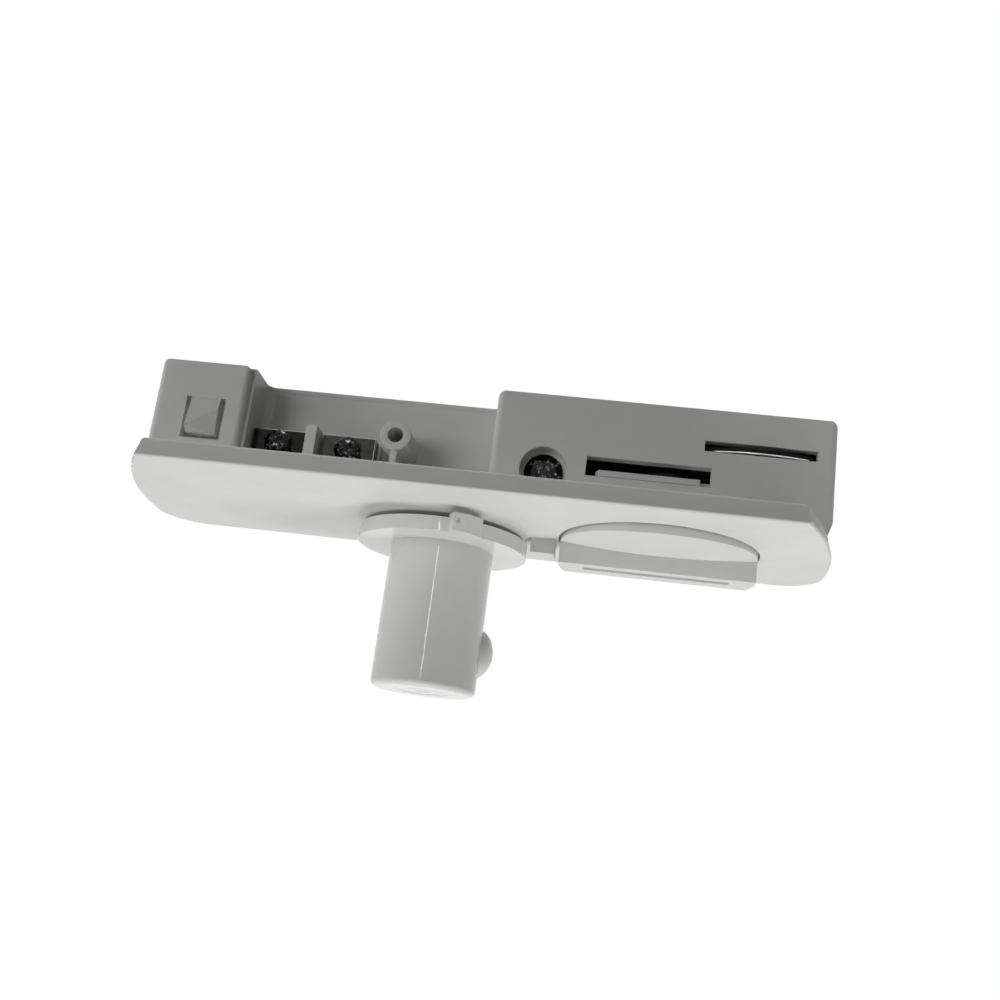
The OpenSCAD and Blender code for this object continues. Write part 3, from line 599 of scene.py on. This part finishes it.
def seen_directly(tree, place):
    """One for camera, mirror and glass rays, nought for light that falls on the part."""
    path = add_node(tree, "ShaderNodeLightPath", place)
    most = path.outputs["Is Camera Ray"]
    for i, kind in enumerate(("Is Glossy Ray", "Is Transmission Ray")):
        pick = add_node(tree, "ShaderNodeMath", (place[0] + 200 * (i + 1), place[1]), operation="MAXIMUM")
        tree.links.new(most, pick.inputs[0])
        tree.links.new(path.outputs[kind], pick.inputs[1])
        most = pick.outputs[0]
    return most


def stage_world():
    """White where it is seen, dark as a light, so that only the lamps light the part."""
    world = bpy.data.worlds.new("studio")
    world.use_nodes = True
    tree = world.node_tree
    back = tree.nodes["Background"]
    tree.links.new(seen_directly(tree, (-900, 0)), back.inputs["Strength"])
    back.inputs["Color"].default_value = (1.0, 1.0, 1.0, 1.0)
    bpy.context.scene.world = world


def stage_floor(height):
    """Pale floor that takes shadows and is white where it is seen."""
    bpy.ops.mesh.primitive_plane_add(size=8.0, location=(0.0, 0.0, height))
    floor = bpy.context.object
    floor.name = "floor"
    made = bpy.data.materials.new("pale_floor")
    made.use_nodes = True
    tree = made.node_tree
    shader = tree.nodes["Principled BSDF"]
    shader.inputs["Base Color"].default_value = (0.86, 0.86, 0.86, 1.0)
    shader.inputs["Roughness"].default_value = 0.9
    glow = add_node(tree, "ShaderNodeEmission", (0, -300))
    tree.links.new(seen_directly(tree, (-900, -300)), glow.inputs["Strength"])
    total = add_node(tree, "ShaderNodeAddShader", (300, -100))
    tree.links.new(shader.outputs["BSDF"], total.inputs[0])
    tree.links.new(glow.outputs["Emission"], total.inputs[1])
    tree.links.new(total.outputs["Shader"], tree.nodes["Material Output"].inputs["Surface"])
    floor.data.materials.append(made)


# Each light's name, place, size, power and whether shiny faces mirror it
LIGHTS = (
    ("under_light", (0.03, -0.04, -0.55), (0.5, 0.5), 1.62, True),
    ("front_left_light", (-0.40, -0.56, 0.06), (0.35, 0.35), 1.02, False),
    ("left_light", (-0.60, -0.20, -0.10), (0.35, 0.35), 0.98, False),
    ("right_light", (0.42, -0.10, -0.42), (0.22, 0.22), 0.95, False),
    ("strip_light", (-0.007, -0.50, 0.078), (0.006, 0.09), 0.10, True),
    ("rear_light", (0.08, 0.62, 0.12), (0.5, 0.5), 1.70, False),
    ("top_light", (-0.16, 0.16, 0.58), (0.4, 0.4), 1.70, False),
)


class ADAPTER_OT_stage(bpy.types.Operator):
    """Build the floor, the lights and the camera"""
    bl_idname = "adapter.stage"
    bl_label = "Stage"

    def execute(self, context):
        scene = context.scene
        set_up = scene.adapter_stage
        scene.view_settings.view_transform = "Standard"
        stage_world()
        stage_floor(set_up.floor_z)
        for name, place, size, power, mirrored in LIGHTS:
            soft_light(name, place, size, power, mirrored)
        lens = bpy.data.cameras.new("photo_camera")
        lens.lens = set_up.camera_lens
        lens.sensor_width = 36.0
        lens.sensor_fit = "HORIZONTAL"
        lens.clip_start, lens.clip_end = 0.005, 30.0
        camera = bpy.data.objects.new("photo_camera", lens)
        axes = camera_axes(set_up.camera_azimuth, set_up.camera_elevation, set_up.camera_roll)
        camera.matrix_world = Matrix.Translation(set_up.camera_place) @ Matrix(axes).transposed().to_4x4()
        scene.collection.objects.link(camera)
        scene.camera = camera
        return {"FINISHED"}


class ADAPTER_PT_panel(bpy.types.Panel):
    """Settings and steps of the track light adapter"""
    bl_idname = "ADAPTER_PT_panel"
    bl_label = "Track Light Adapter"
    bl_space_type = "VIEW_3D"
    bl_region_type = "UI"
    bl_category = "Adapter"

    def draw(self, context):
        scene = context.scene
        for group in (scene.adapter_plastic, scene.adapter_metal, scene.adapter_stage):
            box = self.layout.box()
            for name in group.__annotations__:
                box.prop(group, name)
        for step in STEPS:
            self.layout.operator(step.bl_idname)


STEPS = (ADAPTER_OT_stage, ADAPTER_OT_housing, ADAPTER_OT_lock, ADAPTER_OT_contacts, ADAPTER_OT_terminals,
         ADAPTER_OT_outlet, ADAPTER_OT_fasteners)
CLASSES = (AdapterPlasticSettings, AdapterMetalSettings, AdapterStageSettings, *STEPS, ADAPTER_PT_panel)


def register():
    for kind in CLASSES:
        bpy.utils.register_class(kind)
    bpy.types.Scene.adapter_plastic = bpy.props.PointerProperty(type=AdapterPlasticSettings)
    bpy.types.Scene.adapter_metal = bpy.props.PointerProperty(type=AdapterMetalSettings)
    bpy.types.Scene.adapter_stage = bpy.props.PointerProperty(type=AdapterStageSettings)


def unregister():
    del bpy.types.Scene.adapter_stage
    del bpy.types.Scene.adapter_metal
    del bpy.types.Scene.adapter_plastic
    for kind in reversed(CLASSES):
        bpy.utils.unregister_class(kind)


def main():
    register()
    bpy.ops.adapter.stage()
    bpy.ops.adapter.housing()
    bpy.ops.adapter.lock()
    bpy.ops.adapter.contacts()
    bpy.ops.adapter.terminals()
    bpy.ops.adapter.outlet()
    bpy.ops.adapter.fasteners()


if __name__ == "__main__":
    main()
